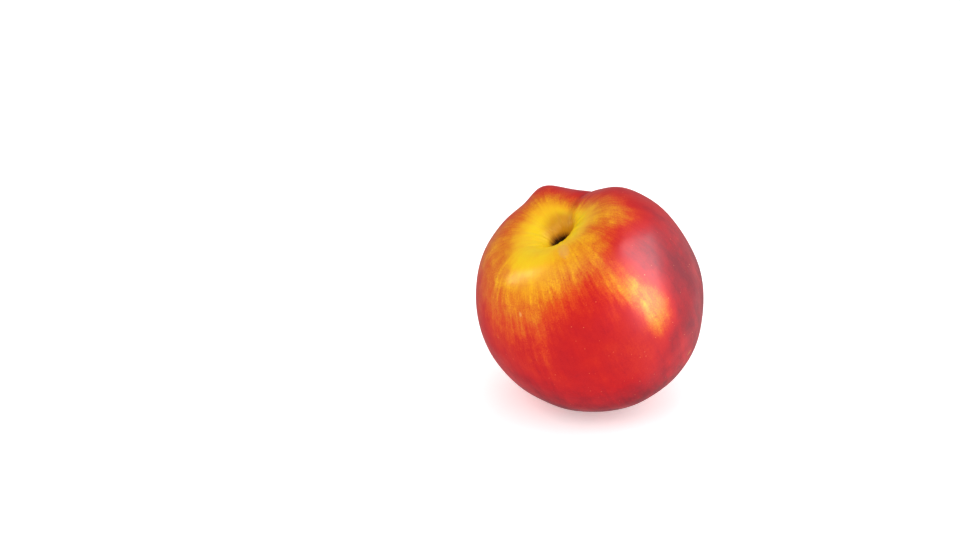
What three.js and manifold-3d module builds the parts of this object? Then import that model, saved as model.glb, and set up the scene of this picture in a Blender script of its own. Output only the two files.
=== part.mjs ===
// A nectarine: one picked fruit, lying as it comes to rest on a small flat spot beside its blossom end,
// with its stem end leaning over. The whole fruit is one solid, skin to centre.
// Millimetres, +Z up. The origin is the middle of the flat spot, on the surface that carries the fruit.
import * as THREE from "three";
import { mergeVertices } from "three/addons/utils/BufferGeometryUtils.js";
import Module from "manifold-3d";

// The fruit's own frame: +Z runs out of the stem end, +X out through the suture, the middle is the
// origin. Outline points are [distance from the axis, height], from the stem end to the blossom end.
const STEM_SCAR = [[0, 19.6], [1.5, 19.5], [2.5, 19.1]];
const STEM_CAVITY = [[3.2, 18.6], [3.8, 19.8], [4.6, 22.2], [6.0, 24.9], [8.4, 27.4], [11.8, 29.1]];
const SHOULDER = [[15.8, 29.5], [20.2, 28.2], [24.8, 24.9], [28.8, 19.7], [32.0, 12.6]];
const CHEEK = [[33.8, 4.4], [33.8, -4.6], [31.7, -13.2], [27.7, -20.5], [22.2, -25.9], [15.7, -29.5]];
const BLOSSOM_END = [[9.3, -31.4], [4.6, -32.1], [2.0, -32.4], [0.9, -33.0], [0, -33.1]];

// The suture is a groove down one side only, deepest where it notches the shoulder.
const SUTURE = {
  cheekDepth: 0.65,
  shoulderDepth: 3.1, // on top of the depth on the cheek
  shoulderFrom: 33, // degrees from the stem end
  shoulderSpread: 27,
  valleyWidth: 9.4, // the wide valley, and the crease along the bottom of it
  creaseWidth: 1.7,
  creaseShare: 0.25,
  lobeShare: 0.08, // the flesh on both sides of the valley stands up by this share of the depth
  lobeFrom: 11.5,
  lobeWidth: 5,
};
const CAVITY_FADE = [2.5, 9]; // distances from the axis between which the suture grows out of the cavity
const TIP_FADE = 12; // degrees before the blossom end in which it runs out
const SIDE_FADE = 0.5;

// The stem cavity is pinched in from both sides, so that it is a slot along the plane of the suture.
const PINCH = 0.55;
const PINCH_FADE = [2, 13]; // distances from the axis between which the pinch dies away

// Swellings give the fruit its uneven cheeks: degrees from the stem end, degrees round from the
// suture, height in millimetres and spread in degrees.
const SWELLINGS = [
  { from: 43, round: 37, height: 2.6, spread: 9 }, // raised lip beside the suture
  { from: 66, round: -51, height: 0.4, spread: 20 },
  { from: 148, round: -125, height: 1.3, spread: 30 },
  { from: 84, round: 130, height: 0.6, spread: 28 },
];
const LIP_FADE = [6, 12]; // distances from the axis between which swellings start outside the cavity

// How the fruit lies on its flat spot, and where its middle is over the middle of the spot.
const LEAN = 24.5; // degrees that the stem end leans over
const LEAN_HEADING = 196;
const SUTURE_HEADING = -136; // turn of the suture about the fruit's own axis
const MIDDLE = [2.4, 1.3, 32.8];

const MERIDIANS = 72;
const ROW_HEIGHT = 3.4;
const GROUND_WIDTH = 120;
const SMALL = 1e-9;

const skin = new THREE.MeshStandardMaterial({ color: 0xd0402c, roughness: 0.38, metalness: 0 });

// 1 where x is 0, falling off to almost nothing at twice the width.
const bell = (x, width) => Math.exp(-((x / width) ** 2));

const radians = THREE.MathUtils.degToRad;
const { smoothstep } = THREE.MathUtils;

// A unit vector in the fruit's own frame, from degrees off the stem end and round from the suture.
function heading(from, round) {
  return new THREE.Vector3(0, 0, 1)
    .applyAxisAngle(new THREE.Vector3(0, 1, 0), radians(from))
    .applyAxisAngle(new THREE.Vector3(0, 0, 1), radians(round));
}

// The plain outline, cut into rows of about the same height on the skin.
function outlinePoints() {
  const knots = [...STEM_SCAR, ...STEM_CAVITY, ...SHOULDER, ...CHEEK, ...BLOSSOM_END]
    .map(([across, height]) => new THREE.Vector2(across, height));
  const curve = new THREE.SplineCurve(knots);
  const spans = knots.length - 1;
  const points = [knots[0]];
  for (let span = 0; span < spans; span += 1) {
    const rows = Math.ceil(knots[span].distanceTo(knots[span + 1]) / ROW_HEIGHT);
    for (let row = 1; row <= rows; row += 1) points.push(curve.getPoint((span + row / rows) / spans));
  }
  points.at(-1).x = 0;
  return points;
}

// How far the suture moves a point of the plain outline outwards.
function sutureRise(point, from) {
  const across = Math.hypot(point.x, point.y);
  const onItsSide = smoothstep(point.x / Math.max(across, SMALL), 0, SIDE_FADE);
  const clearOfCavity = smoothstep(across, ...CAVITY_FADE);
  const cheekDepth = SUTURE.cheekDepth * smoothstep(180 - from, 0, TIP_FADE);
  const depth = cheekDepth + SUTURE.shoulderDepth * bell(from - SUTURE.shoulderFrom, SUTURE.shoulderSpread);
  const valley = (1 - SUTURE.creaseShare) * bell(point.y, SUTURE.valleyWidth);
  const crease = SUTURE.creaseShare * bell(point.y, SUTURE.creaseWidth);
  const lobes = SUTURE.lobeShare * bell(Math.abs(point.y) - SUTURE.lobeFrom, SUTURE.lobeWidth);
  return depth * (lobes - valley - crease) * onItsSide * clearOfCavity;
}

// How much of its distance from the plane of the suture a point keeps.
function pinched(point) {
  return point.z > 0 ? 1 - PINCH * (1 - smoothstep(Math.hypot(point.x, point.y), ...PINCH_FADE)) : 1;
}

// How far the swellings move a point outwards that lies in this direction from the middle.
function swellingRise(point, direction) {
  const outside = point.z > 0 ? smoothstep(Math.hypot(point.x, point.y), ...LIP_FADE) : 1;
  const rises = SWELLINGS.map(({ from, round, height, spread }) =>
    height * bell(THREE.MathUtils.radToDeg(direction.angleTo(heading(from, round))), spread));
  return outside * rises.reduce((sum, rise) => sum + rise, 0);
}

// The turned outline, with the suture sunk in and the swellings raised, in the fruit's own frame.
function fruitGeometry() {
  const lathe = new THREE.LatheGeometry(outlinePoints().reverse(), MERIDIANS).rotateX(Math.PI / 2);
  const { position } = lathe.attributes;
  const point = new THREE.Vector3();
  for (let i = 0; i < position.count; i += 1) {
    point.fromBufferAttribute(position, i);
    const direction = point.clone().normalize();
    const from = THREE.MathUtils.radToDeg(Math.atan2(Math.hypot(point.x, point.y), point.z));
    const rise = sutureRise(point, from) + swellingRise(point, direction);
    point.y *= pinched(point);
    point.addScaledVector(direction, rise);
    position.setXYZ(i, point.x, point.y, point.z);
  }
  return lathe;
}

// From the fruit's own frame to where the fruit lies.
function lyingPose() {
  return new THREE.Matrix4().makeTranslation(...MIDDLE)
    .multiply(new THREE.Matrix4().makeRotationZ(radians(LEAN_HEADING)))
    .multiply(new THREE.Matrix4().makeRotationY(radians(LEAN)))
    .multiply(new THREE.Matrix4().makeRotationZ(radians(SUTURE_HEADING)));
}

const wasm = await Module();
wasm.setup();

// A solid from a geometry, with its shared vertices merged and its collapsed triangles dropped.
function toSolid(geometry) {
  const bare = geometry.clone();
  bare.deleteAttribute("normal");
  bare.deleteAttribute("uv");
  const merged = mergeVertices(bare);
  const corners = merged.index.array;
  const kept = [];
  for (let i = 0; i < corners.length; i += 3) {
    const triangle = [corners[i], corners[i + 1], corners[i + 2]];
    if (new Set(triangle).size === 3) kept.push(...triangle);
  }
  const vertProperties = new Float32Array(merged.attributes.position.array);
  return new wasm.Manifold(new wasm.Mesh({ numProp: 3, vertProperties, triVerts: new Uint32Array(kept) }));
}

function toGeometry(solid) {
  const { vertProperties, triVerts } = solid.getMesh();
  const geometry = new THREE.BufferGeometry();
  geometry.setAttribute("position", new THREE.BufferAttribute(vertProperties, 3));
  geometry.setIndex(new THREE.BufferAttribute(triVerts, 1));
  geometry.computeVertexNormals();
  return geometry;
}

// The fruit as it lies, pressed flat where it meets the surface that carries it.
function nectarine() {
  const lying = fruitGeometry().applyMatrix4(lyingPose());
  const ground = new THREE.BoxGeometry(GROUND_WIDTH, GROUND_WIDTH, GROUND_WIDTH)
    .translate(0, 0, -GROUND_WIDTH / 2);
  const mesh = new THREE.Mesh(toGeometry(toSolid(lying).subtract(toSolid(ground))), skin);
  mesh.name = "nectarine";
  return mesh;
}

export default new THREE.Group().add(nectarine());
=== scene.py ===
"""A nectarine as it lies on its small flat spot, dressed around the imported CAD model.

Shapes are worked out in millimetres and degrees, as in the CAD part, and turned into metres when a
mesh is made. The fruit's own frame has +Z out of the stem end and +X out through the suture. On it,
"from_stem" is degrees from the stem end, "around" is degrees round from the suture, and "across" is
millimetres from the axis.
"""
import math

import bpy
import numpy as np
from mathutils import Matrix, Quaternion, Vector


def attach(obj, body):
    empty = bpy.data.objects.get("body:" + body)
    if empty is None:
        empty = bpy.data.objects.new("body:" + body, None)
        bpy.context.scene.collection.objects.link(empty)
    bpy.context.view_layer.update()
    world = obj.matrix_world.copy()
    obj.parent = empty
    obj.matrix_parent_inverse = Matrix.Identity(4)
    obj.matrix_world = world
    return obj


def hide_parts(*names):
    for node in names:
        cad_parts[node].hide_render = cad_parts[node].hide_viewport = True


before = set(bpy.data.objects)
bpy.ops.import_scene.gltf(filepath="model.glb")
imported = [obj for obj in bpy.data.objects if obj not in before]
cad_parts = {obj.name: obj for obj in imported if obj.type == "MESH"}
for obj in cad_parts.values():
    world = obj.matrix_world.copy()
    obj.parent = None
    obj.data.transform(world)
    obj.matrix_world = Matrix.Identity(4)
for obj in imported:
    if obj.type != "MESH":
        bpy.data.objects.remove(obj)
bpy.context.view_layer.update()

MM = 0.001
SMALL = 1e-9

# ---------------------------------------------------------------- dimensions, as in the part
# Outline points are distance from the axis and height, in mm, from the stem end to the blossom end.
STEM_SCAR = [(0, 19.6), (1.5, 19.5), (2.5, 19.1)]
STEM_CAVITY = [(3.2, 18.6), (3.8, 19.8), (4.6, 22.2), (6.0, 24.9), (8.4, 27.4), (11.8, 29.1)]
SHOULDER = [(15.8, 29.5), (20.2, 28.2), (24.8, 24.9), (28.8, 19.7), (32.0, 12.6)]
CHEEK = [(33.8, 4.4), (33.8, -4.6), (31.7, -13.2), (27.7, -20.5), (22.2, -25.9), (15.7, -29.5)]
BLOSSOM_END = [(9.3, -31.4), (4.6, -32.1), (2.0, -32.4), (0.9, -33.0), (0, -33.1)]
OUTLINE = np.array(STEM_SCAR + STEM_CAVITY + SHOULDER + CHEEK + BLOSSOM_END, float)

# The suture is a groove down one side only, deepest where it notches the shoulder.
SUTURE = {
    "cheek_depth": 0.65,
    "shoulder_depth": 3.1,  # on top of the depth on the cheek
    "shoulder_from": 33,  # degrees from the stem end
    "shoulder_spread": 27,
    "valley_width": 9.4,  # the wide valley, and the crease along the bottom of it
    "crease_width": 1.7,
    "crease_share": 0.25,
    "lobe_share": 0.08,  # flesh on both sides of the valley stands up by this share of the depth
    "lobe_from": 11.5,
    "lobe_width": 5,
}
CAVITY_FADE = (2.5, 9)  # distances from the axis between which the suture grows out of the cavity
TIP_FADE = 12  # degrees before the blossom end in which it runs out
SIDE_FADE = 0.5  # on its own side it is whole from this share of the distance from the axis

# The stem cavity is pinched in from both sides, so that it is a slot along the plane of the suture.
PINCH = 0.55
PINCH_FADE = (2, 13)  # distances from the axis between which the pinch dies away

# Swellings: degrees from the stem end, degrees round from the suture, height in mm, and spread in
# degrees.
SWELLINGS = [(43, 37, 2.6, 9), (66, -51, 0.4, 20), (148, -125, 1.3, 30), (84, 130, 0.6, 28)]
LIP_FADE = (6, 12)  # distances from the axis between which swellings start outside the cavity

# How the fruit lies on its flat spot, in degrees, and where its middle is, in mm from the middle of
# the spot.
LEAN = 24.5
LEAN_HEADING = 196
SUTURE_HEADING = -136
MIDDLE = Vector((2.4, 1.3, 32.8))
POSE = (
    Matrix.Rotation(math.radians(LEAN_HEADING), 3, "Z")
    @ Matrix.Rotation(math.radians(LEAN), 3, "Y")
    @ Matrix.Rotation(math.radians(SUTURE_HEADING), 3, "Z")
)

# ---------------------------------------------------------------- fineness and fine relief
ROWS = 300
MERIDIANS = 300
OUTLINE_SAMPLES = 6001  # fine points of the outline, from which the rows are spaced
MERIDIAN_CROWDING = 0.4  # meridians stand closer together towards the suture
CAVITY_ROW_WEIGHT = 2.2  # rows stand closer together in the stem cavity
CAVITY_ROW_FADE = (8, 14)  # and spread out between these distances from the axis
EDGE_OF_SPOT = 0.16  # rounding, in mm, where the skin comes off the ground

# Low waves in the cheeks: heading of each wave, its length in mm and its height in mm.
CHEEK_WAVES = [
    ((0.9, 0.3, 0.2), 19, 0.07), ((-0.3, 0.8, 0.5), 15, 0.06), ((0.2, -0.5, 0.9), 17, 0.06),
    ((0.7, -0.7, -0.3), 11, 0.03), ((-0.5, -0.4, 0.8), 9, 0.025),
]
WAVE_SHIFT = 1.7  # radians by which each wave starts after the last
WAVE_RISE = (9, 16)  # distances from the axis between which waves start outside the cavity
# Fine puckers that run down the wall of the stem cavity: how many go round, and height in mm.
PUCKERS = [(13, 0.10), (22, 0.07), (31, 0.05)]
PUCKER_SHIFT = 2.1
PUCKER_BUNCHES = 3  # they bunch up in this many places, by up to this many radians
PUCKER_BUNCHING = 0.8
PUCKER_RISE = (2.8, 4.5)  # distances from the axis between which they rise, and die away
PUCKER_FADE = (6.5, 12.5)

# Where the marks of the stem cavity and of the blossom tip lie, and how far they reach, in mm.
CORK_AND_SHADE_MIDDLE = (0, 0.7)  # the cork, darkened as painted shade deep in the cavity, lies to one side of the axis
CAVITY_WALL_SHADE_MIDDLE = (3.6, 1.4)  # and the painted shade on the cavity's walls, a darker gold, further out on the suture's side
CAVITY_REACH = 12.0
TIP_REACH = 8.0
SUTURE_LINE_WIDTH = 1.1
SUTURE_LINE_RISE = (4, 10)  # distances from the axis between which the suture's line begins


def smoothstep(x, low, high):
    t = np.clip((x - low) / (high - low), 0, 1)
    return t * t * (3 - 2 * t)


def bell(x, width):
    return np.exp(-((x / width) ** 2))


def heading(from_stem, around):
    """A unit vector in the fruit's own frame."""
    polar, turn = math.radians(from_stem), math.radians(around)
    outwards = math.sin(polar)
    return np.array([outwards * math.cos(turn), outwards * math.sin(turn), math.cos(polar)])


def spline(points, share):
    """The uniform Catmull-Rom curve through points, at shares of it from 0 to 1."""
    last = len(points) - 1
    place = share * last
    knot = np.minimum(np.floor(place).astype(int), last - 1)
    step = (place - knot)[:, None]
    before, here = points[np.maximum(knot - 1, 0)], points[knot]
    there, after = points[knot + 1], points[np.minimum(knot + 2, last)]
    before = np.where((knot == 0)[:, None], here, before)
    after = np.where((knot == last - 1)[:, None], there, after)
    out, back = (there - before) / 2, (after - here) / 2
    cubed = (2 * here - 2 * there + out + back) * step**3
    squared = (3 * there - 3 * here - 2 * out - back) * step**2
    return cubed + squared + out * step + here


def outline_rows(count):
    """Outline points at even steps along the skin, closer together in the stem cavity."""
    fine_share = np.linspace(0, 1, OUTLINE_SAMPLES)
    fine = spline(OUTLINE, fine_share)
    step = np.linalg.norm(np.diff(fine, axis=0), axis=1)
    on_top = fine[1:, 1] > 0
    in_cavity = np.where(on_top, 1 - smoothstep(fine[1:, 0], *CAVITY_ROW_FADE), 0)
    weight = 1 + (CAVITY_ROW_WEIGHT - 1) * in_cavity
    along = np.concatenate([[0], np.cumsum(step * weight)])
    rows = spline(OUTLINE, np.interp(np.linspace(0, along[-1], count + 1), along, fine_share))
    rows[[0, -1], 0] = 0
    return rows


def skin_grid():
    """The fruit's plain skin in its own frame, as rows of points.

    With the points come their directions, from_stem, across, and turn, in radians round from the
    suture.
    """
    rows = outline_rows(ROWS)
    turn = np.linspace(0, 2 * math.pi, MERIDIANS + 1)[:-1]
    turn = turn - MERIDIAN_CROWDING * np.sin(turn)
    across, height = rows[:, :1], rows[:, 1:]
    point = np.stack([across * np.cos(turn), across * np.sin(turn), height + 0 * turn], -1)
    direction = point / np.linalg.norm(point, axis=2, keepdims=True)
    from_stem = np.degrees(np.arctan2(across + 0 * turn, height))
    return point, direction, from_stem, across + 0 * turn, 0 * across + turn


def beside_suture(point, across):
    """1 on the suture's side of the fruit and 0 on the other, for the suture and its line."""
    return smoothstep(point[..., 0] / np.maximum(across, SMALL), 0, SIDE_FADE)


def suture_rise(point, from_stem, across):
    """How far the suture moves each point outwards."""
    clear_of_cavity = smoothstep(across, *CAVITY_FADE)
    depth = SUTURE["cheek_depth"] * smoothstep(180 - from_stem, 0, TIP_FADE)
    shoulder = bell(from_stem - SUTURE["shoulder_from"], SUTURE["shoulder_spread"])
    depth = depth + SUTURE["shoulder_depth"] * shoulder
    aside = point[..., 1]
    valley = (1 - SUTURE["crease_share"]) * bell(aside, SUTURE["valley_width"])
    crease = SUTURE["crease_share"] * bell(aside, SUTURE["crease_width"])
    lobes = SUTURE["lobe_share"] * bell(np.abs(aside) - SUTURE["lobe_from"], SUTURE["lobe_width"])
    return depth * (lobes - valley - crease) * beside_suture(point, across) * clear_of_cavity


def angle_between(direction, target):
    return np.degrees(np.arccos(np.clip(direction @ target, -1, 1)))


def pinched(point, across):
    """Points drawn in towards the plane of the suture where they lie in the stem cavity."""
    squeeze = np.where(point[..., 2] > 0, PINCH * (1 - smoothstep(across, *PINCH_FADE)), 0)
    return point * np.stack([np.ones_like(squeeze), 1 - squeeze, np.ones_like(squeeze)], -1)


def swelling_rise(point, direction, across):
    """How far the swellings move each point outwards."""
    outside = np.where(point[..., 2] > 0, smoothstep(across, *LIP_FADE), 1)
    rise = sum(
        height * bell(angle_between(direction, heading(from_stem, around)), spread)
        for from_stem, around, height, spread in SWELLINGS
    )
    return outside * rise


def fine_rise(point, across, turn):
    """Low waves over the cheeks and fine puckers in the cavity, too small for the part."""
    waves = 0
    for number, (way, length, height) in enumerate(CHEEK_WAVES):
        way = np.array(way) / np.linalg.norm(way)
        waves = waves + height * np.sin(point @ way * 2 * math.pi / length + WAVE_SHIFT * number)
    on_top = point[..., 2] > 0
    clear_of_cavity = np.where(on_top, smoothstep(across, *WAVE_RISE), 1)
    folds = 0
    for number, (count, height) in enumerate(PUCKERS):
        bunching = PUCKER_BUNCHING * np.sin(PUCKER_BUNCHES * turn + number)
        folds = folds + height * np.cos(count * turn + PUCKER_SHIFT * number + bunching)
    in_cavity = smoothstep(across, *PUCKER_RISE) * (1 - smoothstep(across, *PUCKER_FADE))
    return waves * clear_of_cavity + np.where(on_top, folds * in_cavity, 0)


# ---------------------------------------------------------------- the blush over a yellow ground
# The yellow ground lies round the stem end and reaches down the shaded cheek. Each row is degrees
# round from the suture, degrees from the stem end to where yellow has given way to red, how many
# degrees the change takes to either side, and how orange the ground is there, from 0 to 1.
GROUND_EDGE = [
    (-175, 63, 30, 0.08), (-149, 48, 16, 0.18), (-129, 53, 14, 0.18), (-113, 41, 12, 0.28),
    (-95, 38, 13, 0.32), (-73, 48, 12, 0.24), (-47, 32, 13, 0.36), (-5, 27, 12, 0.34),
    (35, 34, 12, 0.10), (75, 40, 16, 0.42), (98, 48, 20, 0.42), (120, 53, 22, 0.24),
    (145, 55, 24, 0.26), (167, 69, 36, 0.16),
]
EDGE_BLUR = 12  # degrees round the fruit over which each row runs into the next
ORANGE_FROM = (17, 30)  # degrees from the stem end over which the ground turns orange
# Windows in the blush, where leaves shaded the skin: degrees from the stem end, degrees round from
# the suture, half length down the cheek, half width across it, and how much of the red is missing.
# The first is the clear yellow skin below the stem cavity.
WINDOWS = [
    (27, 178, 10, 18, 0.8),
    (57, -118, 11, 12, 0.44),
    (67, -114, 10, 10, 0.45),
    (63, -134, 13, 15, 0.14),
    (81, -111, 15, 11, 0.62),
    (92, -132, 16, 22, 0.14),
    (88, -178, 18, 14, 0.14),
    (92, 105, 34, 14, 0.34),
    (72, 65, 24, 9, 0.26),
    (130, 25, 24, 12, 0.25),
    (120, -55, 16, 22, 0.12),
]
# Cheeks burnt to a deep crimson by the sun, in the same terms, with how much darker than red. The
# patch on the underside is painted shade where the fruit meets the ground, and the first, on the
# right cheek, is partly painted shade towards that edge.
CRIMSON_AND_SHADE = [
    # Partly the cheek's own crimson and partly painted shade towards the right edge.
    (88, -78, 46, 30, 0.26),
    (52, -97, 17, 15, 0.14),
    (114, -110, 26, 26, 0.10),
    # Painted shade on the underside, near the flat spot.
    (142, -160, 32, 60, 0.26),
    (108, 168, 20, 26, 0.16),
    (95, 13, 50, 34, 0.26),
    (60, 25, 20, 40, 0.12),
]
FULL_RED = 0.9  # the amount of blush in plain red skin
BLUSH_RANGE = 1.25  # and in the deepest crimson

# Small healed scuffs of dry, tan skin, in the same terms, with how strong each is. The first, on
# the near rim of the stem cavity, is also a painted highlight of that rim.
SCUFFS_AND_RIM_HIGHLIGHT = [
    (28, -142, 8, 4.4, 0.5),
    (56, 177, 1.7, 1.1, 0.8),
    (74, -33, 3.2, 0.5, 0.7),
    (98, 123, 1.2, 2.4, 0.7),
    (121, -99, 0.8, 3.4, 0.6),
]
PATCH_EDGE = (0.35, 1.25)  # shares of a patch's half size between which it falls off


def wrapped(degrees):
    return (degrees + 180) % 360 - 180


def patch(from_stem, around, centre_from, centre_around, half_length, half_width):
    """1 inside an oval patch of skin, falling off to 0 round its edge."""
    down = (from_stem - centre_from) / half_length
    aside = wrapped(around - centre_around) * np.sin(np.radians(from_stem)) / half_width
    return 1 - smoothstep(np.hypot(down, aside), *PATCH_EDGE)


def periodic(around, knots, column):
    """A smooth closed curve through one column of knots that go once round the fruit."""
    table = np.array(knots, float)
    angles = np.concatenate([table[:, 0] - 360, table[:, 0], table[:, 0] + 360])
    values = np.tile(table[:, column], 3)
    fine = np.arange(-540, 541, 1.0)  # every degree, with a whole turn to spare on both sides
    rough = np.interp(fine, angles, values)
    kernel = bell(np.arange(-2 * EDGE_BLUR, 2 * EDGE_BLUR + 1), EDGE_BLUR)
    return np.interp(around, fine, np.convolve(rough, kernel / kernel.sum(), "same"))


def blush_amount(from_stem, around):
    """How red the skin is, from 0 for clear yellow to 1 for the deepest crimson."""
    edge, softness, orange = (periodic(around, GROUND_EDGE, column) for column in (1, 2, 3))
    ground = orange * smoothstep(from_stem, *ORANGE_FROM)
    blushed = smoothstep((from_stem - edge) / softness, -1, 1)
    amount = ground + (FULL_RED - ground) * blushed
    for *place, missing in WINDOWS:
        amount = amount * (1 - missing * patch(from_stem, around, *place))
    # Deeper crimson, with painted shade on the underside and towards the right edge.
    for *place, deeper in CRIMSON_AND_SHADE:
        amount = amount + deeper * patch(from_stem, around, *place) * blushed
    return amount / BLUSH_RANGE


def scuff_and_highlight_amount(from_stem, around):
    return sum(strength * patch(from_stem, around, *place) for *place, strength in SCUFFS_AND_RIM_HIGHLIGHT)


def cavity_mark(point, middle):
    """1 over a middle in the stem cavity, falling off to 0 at the reach of the cavity's marks."""
    distance = np.hypot(point[..., 0] - middle[0], point[..., 1] - middle[1])
    return np.where(point[..., 2] > 0, np.clip(1 - distance / CAVITY_REACH, 0, 1), 0)


def tip_mark(point, across):
    """1 at the blossom tip, falling off to 0 at the reach of its withered skin."""
    return np.where(point[..., 2] > 0, 0, np.clip(1 - across / TIP_REACH, 0, 1))


# ---------------------------------------------------------------- building meshes
def build_mesh(name, vertices, faces, attributes):
    """A smooth mesh object from points in millimetres, with values or vectors on its points."""
    mesh = bpy.data.meshes.new(name)
    mesh.from_pydata((np.asarray(vertices) * MM).tolist(), [], faces)
    for key, values in attributes.items():
        values = np.asarray(values, np.float32)
        kind, field = ("FLOAT", "value") if values.ndim == 1 else ("FLOAT_VECTOR", "vector")
        mesh.attributes.new(key, kind, "POINT").data.foreach_set(field, values.ravel())
    mesh.shade_smooth()
    mesh.update()
    piece = bpy.data.objects.new(name, mesh)
    bpy.context.scene.collection.objects.link(piece)
    return piece


def closed_rows(rows, round_count):
    """Faces of a skin made of one pole point, rings of points and another pole point."""
    last = 1 + (rows - 1) * round_count

    def ring(row, spoke):
        return 1 + (row - 1) * round_count + spoke % round_count

    faces = []
    for spoke in range(round_count):
        faces.append((0, ring(1, spoke), ring(1, spoke + 1)))
        for row in range(1, rows - 1):
            down_here = (ring(row, spoke), ring(row + 1, spoke))
            up_there = (ring(row + 1, spoke + 1), ring(row, spoke + 1))
            faces.append(down_here + up_there)
        faces.append((ring(rows - 1, spoke), last, ring(rows - 1, spoke + 1)))
    return faces


def flat_list(grid):
    """One value a vertex, with each pole's row as one."""
    return np.concatenate([grid[:1, 0], grid[1:-1].reshape((-1,) + grid.shape[2:]), grid[-1:, 0]])


def as_it_lies(points):
    """Points of the fruit's own frame where the fruit lies, pressed flat against the ground."""
    lying = points @ np.array(POSE).T + np.array(MIDDLE)
    lying[:, 2] = EDGE_OF_SPOT * np.logaddexp(0, lying[:, 2] / EDGE_OF_SPOT)
    return lying


def skin_piece():
    point, direction, from_stem, across, turn = skin_grid()
    around = np.degrees(np.arctan2(point[..., 1], point[..., 0]))
    rise = suture_rise(point, from_stem, across) + swelling_rise(point, direction, across)
    rise = rise + fine_rise(point, across, turn)
    skin = flat_list(pinched(point, across) + direction * rise[..., None])
    suture = bell(point[..., 1], SUTURE_LINE_WIDTH) * beside_suture(point, across)
    attributes = {
        "place": skin,
        "blush": flat_list(blush_amount(from_stem, around)),
        # Scuffs, with a painted highlight on the near rim of the stem cavity.
        "scuff_and_highlight": flat_list(scuff_and_highlight_amount(from_stem, around)),
        # The cork of the stem cavity, darkened as painted shade, and painted shade on the cavity's
        # walls.
        "cavity": flat_list(cavity_mark(point, CORK_AND_SHADE_MIDDLE)),
        "cavity_wall_shade": flat_list(cavity_mark(point, CAVITY_WALL_SHADE_MIDDLE)),
        "suture": flat_list(suture * smoothstep(across, *SUTURE_LINE_RISE)),
        "tip": flat_list(tip_mark(point, across)),
    }
    return build_mesh("nectarine_skin", as_it_lies(skin), closed_rows(ROWS, MERIDIANS), attributes)


# The dry scar where the stem came away: an oval button with a torn, ridged top, sunk in the cavity.
SCAR_RADIUS = 2.75
SCAR_TOP = 19.75  # height, in mm, of its rim
SCAR_SKIRT = 18.5  # and of its lower edge, which is buried in the floor of the cavity
SCAR_ROOT = 0.6  # how far its underside tapers down below that
SCAR_DISH = 0.45  # how far its middle is dished below its rim
SCAR_RINGS = 26
SCAR_SPOKES = 96
# Waves in its ragged edge: how many go round, their share of the radius, and where they start.
SCAR_WAVES = [(3, 0.05, 0.4), (7, 0.035, 1.9)]
# Torn ridges on its top: how many go round, and height in mm.
SCAR_RIDGES = [(5, 0.16), (9, 0.10), (14, 0.07), (23, 0.04)]
RIDGE_TWIST = 5  # radians that they turn on the way out
RIDGE_SHIFT = 1.3  # radians by which each set starts after the last
# Shares of the radius between which the dish rises, its side falls, and ridges rise and fade.
DISH_RISE = (0.15, 0.7)
SIDE_FALL = (0.82, 1)
RIDGE_RISE = (0.05, 0.35)
RIDGE_FADE = (0.9, 1)


def scar_piece():
    rings = np.linspace(0, 1, SCAR_RINGS + 1)[:, None]
    turn = np.linspace(0, 2 * math.pi, SCAR_SPOKES + 1)[:-1]
    ragged = 1
    for count, share, start in SCAR_WAVES:
        ragged = ragged + share * np.sin(count * turn + start)
    across = SCAR_RADIUS * rings * ragged
    dish = -SCAR_DISH * (1 - smoothstep(rings, *DISH_RISE))
    side = (SCAR_SKIRT - SCAR_TOP) * smoothstep(rings, *SIDE_FALL)
    torn = 0
    for number, (count, height) in enumerate(SCAR_RIDGES):
        torn = torn + height * np.cos(count * turn + RIDGE_TWIST * rings + RIDGE_SHIFT * number)
    torn = torn * smoothstep(rings, *RIDGE_RISE) * (1 - smoothstep(rings, *RIDGE_FADE))
    height = SCAR_TOP + dish + side + torn
    point = np.stack([across * np.cos(turn), across * np.sin(turn), height], -1)
    top = np.concatenate([point[:1, 0], point[1:].reshape(-1, 3)])
    squeezed = top * np.array([1, 1 - PINCH, 1])
    scar = np.concatenate([squeezed, [[0, 0, SCAR_SKIRT - SCAR_ROOT]]])
    faces = closed_rows(SCAR_RINGS + 1, SCAR_SPOKES)
    return build_mesh("stem_scar", as_it_lies(scar), faces, {"place": scar})


# ---------------------------------------------------------------- materials
def srgb(red, green, blue):
    """A colour as it is seen, 0 to 255, as the linear colour that shaders use."""
    def linear(value):
        value = value / 255
        return value / 12.92 if value <= 0.04045 else ((value + 0.055) / 1.055) ** 2.4
    return (linear(red), linear(green), linear(blue), 1.0)


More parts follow.
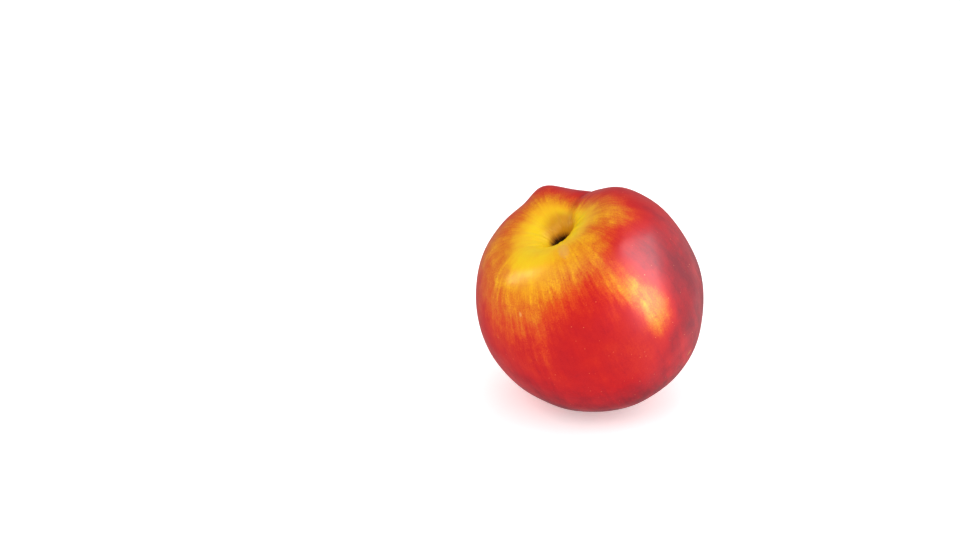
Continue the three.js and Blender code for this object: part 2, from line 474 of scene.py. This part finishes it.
class Shader:
    """A material and short ways to add nodes to it. An input is a number, a colour or a socket."""

    def __init__(self, name):
        self.material = bpy.data.materials.new(name)
        self.material.use_nodes = True
        self.tree = self.material.node_tree
        self.tree.nodes.clear()

    def add(self, kind, inputs=None, **settings):
        node = self.tree.nodes.new(kind)
        for key, value in settings.items():
            setattr(node, key, value)
        for key, value in (inputs or {}).items():
            if isinstance(value, bpy.types.NodeSocket):
                self.tree.links.new(value, node.inputs[key])
            else:
                node.inputs[key].default_value = value
        return node

    def math(self, operation, a, b=0.0, clamp=False):
        node = self.add("ShaderNodeMath", {0: a, 1: b}, operation=operation, use_clamp=clamp)
        return node.outputs[0]

    def product(self, *values):
        result = values[0]
        for value in values[1:]:
            result = self.math("MULTIPLY", result, value)
        return result

    def swing(self, noise, *strengths):
        """Noise from 0 to 1, made to swing about 0 with the product of these strengths."""
        return self.product(self.math("SUBTRACT", noise, 0.5), *strengths)

    def vector(self, operation, a, b=(0.0, 0.0, 0.0)):
        return self.add("ShaderNodeVectorMath", {0: a, 1: b}, operation=operation).outputs[0]

    def attribute(self, name, output="Fac"):
        return self.add("ShaderNodeAttribute", attribute_name=name).outputs[output]

    def noise(self, place, size, detail=2.0, roughness=0.5, output="Fac"):
        """Smooth noise from 0 to 1, with features of about this size."""
        inputs = {"Vector": place, "Scale": 1 / size, "Detail": detail, "Roughness": roughness}
        return self.add("ShaderNodeTexNoise", inputs).outputs[output]

    def cells(self, place, size):
        """Points about this far apart: distance to the nearest, in that size, and its colour."""
        node = self.add("ShaderNodeTexVoronoi", {"Vector": place, "Scale": 1 / size})
        chance = self.add("ShaderNodeSeparateColor", {0: node.outputs["Color"]})
        return node.outputs["Distance"], chance.outputs

    def cracks(self, place, size):
        """Distance to the nearest crack between plates of about this size, in that size."""
        inputs = {"Vector": place, "Scale": 1 / size}
        node = self.add("ShaderNodeTexVoronoi", inputs, feature="DISTANCE_TO_EDGE")
        return node.outputs["Distance"]

    def span(self, value, low, high, out_low=0.0, out_high=1.0):
        """value from low..high to out_low..out_high, smoothly and without going past either."""
        ends = {"From Min": low, "From Max": high, "To Min": out_low, "To Max": out_high}
        inputs = {"Value": value, **ends}
        return self.add("ShaderNodeMapRange", inputs, interpolation_type="SMOOTHSTEP").outputs[0]

    def mix(self, factor, a, b):
        """The colour a where the factor is 0 and b where it is 1."""
        # A mix of colours has its colours on inputs 6 and 7 and its result on output 2.
        return self.add("ShaderNodeMix", {0: factor, 6: a, 7: b}, data_type="RGBA").outputs[2]

    def ramp(self, value, stops):
        node = self.add("ShaderNodeValToRGB", {"Fac": value})
        elements = node.color_ramp.elements
        while len(elements) < len(stops):
            elements.new(0.5)
        for element, (position, colour) in zip(elements, stops):
            element.position = position
            element.color = colour
        return node.outputs["Color"]

    def finish(self, surface):
        output = self.add("ShaderNodeOutputMaterial")
        self.tree.links.new(surface.outputs[0], output.inputs["Surface"])
        return self.material


# ---------------------------------------------------------------- the skin's material
# A name that ends in SPAN holds a low and a high value and, unless they become 0 and 1, what they
# become. Radii and cores are shares of a spacing, and other sizes are in mm.
SKIN_COLOURS = [
    (0.00, srgb(251, 215, 30)),
    (0.08, srgb(246, 190, 28)),
    (0.18, srgb(233, 154, 28)),
    (0.30, srgb(223, 118, 28)),
    (0.42, srgb(220, 84, 28)),
    (0.53, srgb(212, 54, 30)),
    (0.64, srgb(206, 34, 32)),
    (0.74, srgb(200, 22, 34)),
    (0.84, srgb(184, 14, 38)),
    (1.00, srgb(142, 8, 40)),
]
PORE_COLOUR = srgb(246, 190, 128)
FRECKLE_COLOUR = srgb(190, 52, 28)
# Painted shade on the walls of the stem cavity, a darker gold than the skin round it.
CAVITY_WALL_SHADE_COLOUR = srgb(212, 140, 14)
RUSSET_COLOUR = srgb(150, 92, 30)
# Dark cork round the scar, painted darker still as the shade deep in the stem cavity.
CORK_AND_SHADE_COLOUR = srgb(50, 30, 14)
# Pale tan of the scuffs, which on the near rim of the stem cavity is also a painted highlight.
SCUFF_AND_HIGHLIGHT_COLOUR = srgb(234, 180, 108)
SUTURE_COLOUR = srgb(150, 40, 24)
TIP_COLOUR = srgb(96, 58, 30)

# Streaks are noise on a grain, which runs from the stem end to the blossom end.
STREAKS_ROUND = 34  # the grain is this many times as fine round the fruit as a unit of noise
STREAK_LENGTHENING = 0.14  # and this many times as fine down the cheek
STREAK_WANDER = 2.2  # how far it wanders on the way, in units of noise
WANDER_SIZE = 7.0

# Each noise on the skin: whether it is laid on the grain or in place, size, detail and roughness.
TEXTURES = {
    "broad_streaks": ("grain", 4.6, 2.0, 0.5),
    "streaks": ("grain", 1.9, 3.0, 0.6),
    "fine_streaks": ("grain", 0.7, 2.0, 0.6),
    "streaked_parts": ("place", 12.0, 1.0, 0.5),
    "clouds": ("place", 9.0, 3.0, 0.55),
    "freckled_parts": ("place", 5.0, 1.0, 0.5),
    "blotches": ("place", 3.4, 3.0, 0.6),
    "swells": ("place", 2.6, 2.0, 0.5),
    "peel": ("place", 0.55, 2.0, 0.5),
    "stipple": ("place", 0.42, 2.0, 0.7),
}
# How strongly noises break up the edge of the blush, and mottle the skin everywhere.
STREAKED_EDGE = {"broad_streaks": 0.26, "streaks": 0.26}
SPECKLED_EDGE = {"fine_streaks": 0.18, "stipple": 0.30, "blotches": 0.20}
MOTTLE = {"clouds": 0.22, "broad_streaks": 0.14, "blotches": 0.14, "streaks": 0.10, "stipple": 0.07}
STREAKED_SPAN = (0.36, 0.62, 0.35, 1.0)
EDGE_START_SPAN = (0.05, 0.28)
EDGE_END_SPAN = (0.50, 0.78, 1.0, 0.30)
MOTTLE_SPAN = (0.0, 0.25, 0.4, 1.0)

# Pores are pale dots, of uneven size, that show on the red.
PORE_SPACING = 1.35
PORE_RADIUS_SPAN = (0.25, 1.0, 0.05, 0.14)
PORE_CORE_SHARE = 0.5  # of a pore's radius, in which it is palest
PORE_RED_SPAN = (0.2, 0.6, 0.10, 0.6)
PORE_CHANCE_SPAN = (0.1, 0.9)
PORE_DEPTH = 0.5

# Freckles are specks of red ahead of the blush.
FRECKLE_SPACING = 1.6
FRECKLE_RADIUS_SPAN = (0.0, 1.0, 0.10, 0.24)
FRECKLE_CORE = 0.06
FRECKLE_START_SPAN = (0.02, 0.18)
FRECKLE_END_SPAN = (0.30, 0.45, 1.0, 0.0)
FRECKLED_SPAN = (0.46, 0.64)
FRECKLE_STRENGTH = 0.6

# The stem cavity takes a darker gold on its walls, which is painted shade, then turns russet, and
# is lined with dark cork round the scar, painted darker as the shade deep in the cavity.
CAVITY_FRAYING = 0.16
CAVITY_WALL_SHADE_SPAN = (0.34, 0.62, 0.0, 0.7)
RUSSET_SPAN = (0.58, 0.66, 0.0, 0.75)
CORK_AND_SHADE_SPAN = (0.64, 0.68)
SUTURE_STRENGTH = 0.22

# Scuffs are dry and finely crazed, and the pale one on the cavity's near rim is also a painted
# highlight.
CRAZING_SIZE = 0.5
SCUFF_FRAYING = 0.5
SCUFF_SPAN = (0.25, 0.6)
CRACK_COLOUR_SPAN = (0.0, 0.12, 0.75, 1.0)
CRACK_HEIGHT_SPAN = (0.0, 0.2, 0.0, 1.4)
SCUFF_STRENGTH = 0.7

# The blossom end holds the withered tip of the flower.
TIP_FRAYING = 0.30
WITHERED_SPAN = (0.50, 0.86, 0.0, 0.55)
TIP_SPAN = (0.80, 0.90)

SWELL_HEIGHT = 1.6  # relief of the swells, where that of the peel's grain is 1
DULL_CLOUDS_SPAN = (0.3, 0.7, 0.30, 0.40)
DULL_CAVITY_SPAN = (0.4, 0.6, 0.0, 0.35)
DULL_SCUFFS = 0.3


def streak_grain(shader, place):
    """Places on the skin, drawn out from the stem end to the blossom end, with a little wander."""
    parts = shader.add("ShaderNodeSeparateXYZ", {0: place}).outputs
    level = shader.add("ShaderNodeCombineXYZ", {"X": parts["X"], "Y": parts["Y"]}).outputs[0]
    outward = shader.add("ShaderNodeSeparateXYZ", {0: shader.vector("NORMALIZE", level)}).outputs
    grain = shader.add("ShaderNodeCombineXYZ", {
        "X": shader.math("MULTIPLY", outward["X"], STREAKS_ROUND),
        "Y": shader.math("MULTIPLY", outward["Y"], STREAKS_ROUND),
        "Z": shader.math("MULTIPLY", parts["Z"], STREAK_LENGTHENING),
    }).outputs[0]
    wander = shader.noise(place, WANDER_SIZE, output="Color")
    wander = shader.vector("SUBTRACT", wander, (0.5, 0.5, 0.5))
    scaled = {0: wander, "Scale": STREAK_WANDER}
    wander = shader.add("ShaderNodeVectorMath", scaled, operation="SCALE").outputs[0]
    return shader.vector("ADD", grain, wander)


def skin_textures(shader, place):
    """The noises of TEXTURES by name."""
    layouts = {"place": place, "grain": streak_grain(shader, place)}
    return {
        name: shader.noise(layouts[layout], size, detail, roughness)
        for name, (layout, size, detail, roughness) in TEXTURES.items()
    }


def mottled(shader, blush, textures):
    """The amount of blush, with its edge broken up and the whole of it mottled."""
    streaked = shader.span(textures["streaked_parts"], *STREAKED_SPAN)
    started = shader.span(blush, *EDGE_START_SPAN)
    at_edge = shader.product(started, shader.span(blush, *EDGE_END_SPAN))
    amount = blush
    for name, strength in STREAKED_EDGE.items():
        shift = shader.swing(textures[name], streaked, at_edge, strength)
        amount = shader.math("ADD", amount, shift)
    for name, strength in SPECKLED_EDGE.items():
        shift = shader.swing(textures[name], at_edge, strength)
        amount = shader.math("ADD", amount, shift)
    everywhere = shader.span(blush, *MOTTLE_SPAN)
    for name, strength in MOTTLE.items():
        shift = shader.swing(textures[name], everywhere, strength)
        amount = shader.math("ADD", amount, shift, clamp=True)
    return amount


def with_pores(shader, colour, place, blush):
    """The colour with its pores, and the pores, from 0 to 1."""
    distance, chance = shader.cells(place, PORE_SPACING)
    radius = shader.span(chance["Red"], *PORE_RADIUS_SPAN)
    pore = shader.span(distance, shader.product(radius, PORE_CORE_SHARE), radius, 1.0, 0.0)
    by_chance = shader.span(chance["Green"], *PORE_CHANCE_SPAN)
    shown = shader.product(shader.span(blush, *PORE_RED_SPAN), by_chance)
    return shader.mix(shader.product(pore, shown), colour, PORE_COLOUR), pore


def with_freckles(shader, colour, place, blush, freckled_parts):
    """The colour with its freckles."""
    distance, chance = shader.cells(place, FRECKLE_SPACING)
    radius = shader.span(chance["Blue"], *FRECKLE_RADIUS_SPAN)
    freckle = shader.span(distance, FRECKLE_CORE, radius, 1.0, 0.0)
    started = shader.span(blush, *FRECKLE_START_SPAN)
    ahead = shader.product(started, shader.span(blush, *FRECKLE_END_SPAN))
    freckled = shader.span(freckled_parts, *FRECKLED_SPAN)
    amount = shader.product(freckle, ahead, freckled, FRECKLE_STRENGTH)
    return shader.mix(amount, colour, FRECKLE_COLOUR)


def with_cavity(shader, colour, cavity):
    """The colour with the stem cavity's rings: painted shade on its walls, russet, and cork
    darkened as painted shade.
    """
    colour = shader.mix(shader.span(shader.attribute("cavity_wall_shade"), *CAVITY_WALL_SHADE_SPAN), colour, CAVITY_WALL_SHADE_COLOUR)
    colour = shader.mix(shader.span(cavity, *RUSSET_SPAN), colour, RUSSET_COLOUR)
    return shader.mix(shader.span(cavity, *CORK_AND_SHADE_SPAN), colour, CORK_AND_SHADE_COLOUR)


def with_suture(shader, colour):
    """The colour with the suture's line."""
    line = shader.product(shader.attribute("suture"), SUTURE_STRENGTH)
    return shader.mix(line, colour, SUTURE_COLOUR)


def scuffed(shader, stipple, crazing):
    """How dry and scuffed the skin is, from 0 to 1."""
    frayed = shader.math("ADD", shader.attribute("scuff_and_highlight"), shader.swing(stipple, SCUFF_FRAYING))
    plates = shader.span(crazing, *CRACK_COLOUR_SPAN)
    return shader.product(shader.span(frayed, *SCUFF_SPAN), plates)


def with_tip(shader, colour, fine_streaks):
    """The colour with the withered blossom tip."""
    withered = shader.math("ADD", shader.attribute("tip"), shader.swing(fine_streaks, TIP_FRAYING))
    colour = shader.mix(shader.span(withered, *WITHERED_SPAN), colour, RUSSET_COLOUR)
    return shader.mix(shader.span(withered, *TIP_SPAN), colour, TIP_COLOUR)


def skin_relief(shader, textures, pore, dry, crazing):
    """The skin's direction with its grain, swells, pores and crazed scuffs."""
    height = shader.math("ADD", textures["peel"], shader.product(textures["swells"], SWELL_HEIGHT))
    height = shader.math("ADD", height, shader.product(pore, -PORE_DEPTH))
    plates = shader.product(dry, shader.span(crazing, *CRACK_HEIGHT_SPAN))
    height = shader.math("ADD", height, plates)
    bump = {"Strength": 0.14, "Distance": 0.0002, "Height": height}
    return shader.add("ShaderNodeBump", bump).outputs[0]


def skin_dullness(shader, clouds, cavity, dry):
    """How rough the skin is, from 0 to 1."""
    dull = shader.span(clouds, *DULL_CLOUDS_SPAN)
    dull = shader.math("ADD", dull, shader.span(cavity, *DULL_CAVITY_SPAN))
    return shader.math("ADD", dull, shader.product(dry, DULL_SCUFFS), clamp=True)


def skin_material():
    shader = Shader("nectarine_skin")
    place = shader.attribute("place", "Vector")
    blush = shader.attribute("blush")
    textures = skin_textures(shader, place)
    fine_streaks = textures["fine_streaks"]
    fraying = shader.swing(fine_streaks, CAVITY_FRAYING)
    cavity = shader.math("ADD", shader.attribute("cavity"), fraying)
    crazing = shader.cracks(place, CRAZING_SIZE)
    dry = scuffed(shader, textures["stipple"], crazing)

    colour = shader.ramp(mottled(shader, blush, textures), SKIN_COLOURS)
    colour, pore = with_pores(shader, colour, place, blush)
    colour = with_freckles(shader, colour, place, blush, textures["freckled_parts"])
    colour = with_cavity(shader, colour, cavity)
    colour = with_suture(shader, colour)
    # Pale tan scuffs; the one on the cavity's near rim is also a painted highlight.
    colour = shader.mix(shader.product(dry, SCUFF_STRENGTH), colour, SCUFF_AND_HIGHLIGHT_COLOUR)
    colour = with_tip(shader, colour, fine_streaks)

    surface = shader.add("ShaderNodeBsdfPrincipled", {
        "Base Color": colour,
        "Roughness": skin_dullness(shader, textures["clouds"], cavity, dry),
        "Specular IOR Level": 0.6,
        "Subsurface Weight": 0.12,
        "Subsurface Radius": (1.0, 0.35, 0.15),
        "Subsurface Scale": 0.0025,
        "Coat Weight": 0.08,
        "Coat Roughness": 0.18,
        "Normal": skin_relief(shader, textures, pore, dry, crazing),
    })
    return shader.finish(surface)


# ---------------------------------------------------------------- the other materials
SCAR_COLOURS = [
    (0.00, srgb(52, 32, 18)),
    (0.40, srgb(98, 66, 36)),
    (0.70, srgb(140, 102, 60)),
    (1.00, srgb(176, 140, 92)),
]
FIBRES = (0.5, 4.0, 0.7)  # size, detail and roughness
FIBRE_CONTRAST = 1.3
PIT_SPACING = 0.55
PIT_TONE_SPAN = (0.1, 0.5, -0.45, -0.05)
PIT_HEIGHT_SPAN = (0.0, 0.4, -0.8, 0.0)

FLOOR_RADIUS = 4.0  # in metres
FLOOR_SIDES = 96
FLOOR_GLOW = 0.29  # light that the floor gives off by itself
FLOOR_COLOUR = srgb(246, 249, 249)


def scar_material():
    shader = Shader("stem_scar")
    place = shader.attribute("place", "Vector")
    fibres = shader.noise(place, *FIBRES)
    pits, _ = shader.cells(place, PIT_SPACING)
    pit_tone = shader.span(pits, *PIT_TONE_SPAN)
    tone = shader.math("ADD", shader.product(fibres, FIBRE_CONTRAST), pit_tone, clamp=True)
    height = shader.math("ADD", fibres, shader.span(pits, *PIT_HEIGHT_SPAN))
    bump = shader.add("ShaderNodeBump", {"Strength": 0.6, "Distance": 0.0003, "Height": height})
    surface = shader.add("ShaderNodeBsdfPrincipled", {
        "Base Color": shader.ramp(tone, SCAR_COLOURS),
        "Roughness": 0.85,
        "Specular IOR Level": 0.25,
        "Normal": bump.outputs[0],
    })
    return shader.finish(surface)


def floor_material():
    shader = Shader("pale_floor")
    surface = shader.add("ShaderNodeBsdfPrincipled", {
        "Base Color": FLOOR_COLOUR,
        "Roughness": 0.7,
        "Emission Color": (1, 1, 1, 1),
        "Emission Strength": FLOOR_GLOW,
    })
    return shader.finish(surface)


# ---------------------------------------------------------------- floor, light and camera
# The room is brighter to the right: its strength at the ends, and how far rightwards they lie.
WORLD_STRENGTH = (0.31, 0.85)
WORLD_RIGHTWARDS = (0.3, 0.95)
GLOSS_DISTANCE = 0.9  # of lamps from the fruit's middle, in metres
FILL_DISTANCE = 1.2
CAMERA_ELEVATION = 28  # in degrees
CAMERA_DISTANCE = 600  # in mm, as are the lens and the fruit's place in the frame
CAMERA_CLIPPING = (0.01, 20)  # in metres
LENS = 74
FRUIT_RIGHT_OF_FRAME = 33.5  # how far the fruit's middle is from the middle of the frame
FRUIT_BELOW_FRAME = 8.4


def floor():
    bpy.ops.mesh.primitive_circle_add(
        vertices=FLOOR_SIDES, radius=FLOOR_RADIUS, fill_type="NGON", location=(0, 0, 0),
    )
    ground = bpy.context.object
    ground.name = "floor"
    ground.data.materials.append(floor_material())
    ground.visible_glossy = False


def softbox(name, way, elevation, distance, size, radiance, roll=0):
    """A rectangular lamp that faces the fruit, at a heading from the front towards the right.

    A roll leans its top to the right, as seen from the fruit.
    """
    width, height = size
    lamp = bpy.data.lights.new(name, "AREA")
    lamp.shape = "RECTANGLE"
    lamp.size, lamp.size_y = width, height
    lamp.energy = radiance * math.pi * width * height
    holder = bpy.data.objects.new(name, lamp)
    turn, rise = math.radians(way), math.radians(elevation)
    level = math.cos(rise)
    out = Vector((math.sin(turn) * level, -math.cos(turn) * level, math.sin(rise)))
    holder.location = MIDDLE * MM + out * distance
    facing = (-out).to_track_quat("-Z", "Y")
    holder.rotation_euler = (facing @ Quaternion((0, 0, 1), math.radians(roll))).to_euler()
    bpy.context.scene.collection.objects.link(holder)
    return holder


def gloss(name, way, elevation, size, radiance, roll=0):
    """A lamp that is mirrored in the skin and doesn't light it up."""
    softbox(name, way, elevation, GLOSS_DISTANCE, size, radiance, roll).visible_diffuse = False


def fill(name, way, elevation, size, radiance):
    """A lamp that lights up the skin and isn't mirrored in it."""
    softbox(name, way, elevation, FILL_DISTANCE, size, radiance).visible_glossy = False


def room():
    world = bpy.data.worlds.new("studio")
    world.use_nodes = True
    nodes, links = world.node_tree.nodes, world.node_tree.links
    background = nodes["Background"]
    background.inputs["Color"].default_value = (1, 1, 1, 1)
    way = nodes.new("ShaderNodeSeparateXYZ")
    strength = nodes.new("ShaderNodeMapRange")
    strength.interpolation_type = "SMOOTHSTEP"
    ends = ("From Min", "From Max", "To Min", "To Max")
    for end, value in zip(ends, WORLD_RIGHTWARDS + WORLD_STRENGTH):
        strength.inputs[end].default_value = value
    links.new(nodes.new("ShaderNodeTexCoord").outputs["Generated"], way.inputs[0])
    links.new(way.outputs["X"], strength.inputs["Value"])
    links.new(strength.outputs[0], background.inputs["Strength"])
    bpy.context.scene.world = world


def lamps():
    gloss("gloss_right", way=70, elevation=31, size=(0.72, 1.2), radiance=3.4, roll=-42)
    gloss("gloss_low", way=50, elevation=2, size=(0.6, 0.3), radiance=0.8)
    gloss("gloss_left", way=-95, elevation=30, size=(0.16, 0.4), radiance=4.0)
    fill("fill_right", way=75, elevation=40, size=(0.8, 0.8), radiance=0.45)
    fill("fill_left", way=-55, elevation=42, size=(0.8, 0.8), radiance=1.25)
    fill("fill_above", way=0, elevation=62, size=(1.2, 1.2), radiance=0.58)
    fill("fill_front", way=-5, elevation=12, size=(0.8, 0.5), radiance=0.6)
    fill("fill_behind", way=170, elevation=50, size=(0.8, 0.8), radiance=0.75)


def camera():
    tilt = math.radians(CAMERA_ELEVATION)
    back = Vector((0, -math.cos(tilt), math.sin(tilt)))
    right, up = Vector((1, 0, 0)), Vector((0, math.sin(tilt), math.cos(tilt)))
    lens = bpy.data.cameras.new("camera")
    lens.lens = LENS
    lens.clip_start, lens.clip_end = CAMERA_CLIPPING
    view = bpy.data.objects.new("camera", lens)
    place = MIDDLE + back * CAMERA_DISTANCE - right * FRUIT_RIGHT_OF_FRAME + up * FRUIT_BELOW_FRAME
    view.location = place * MM
    view.rotation_euler = (math.radians(90 - CAMERA_ELEVATION), 0, 0)
    bpy.context.scene.collection.objects.link(view)
    bpy.context.scene.camera = view


def dress(piece, material):
    piece.data.materials.append(material)
    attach(piece, "root")
    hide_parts("nectarine")


def main():
    camera()
    room()
    lamps()
    floor()
    dress(skin_piece(), skin_material())
    dress(scar_piece(), scar_material())
    bpy.context.scene.view_settings.view_transform = "Standard"
    bpy.context.scene.view_settings.look = "High Contrast"


main()
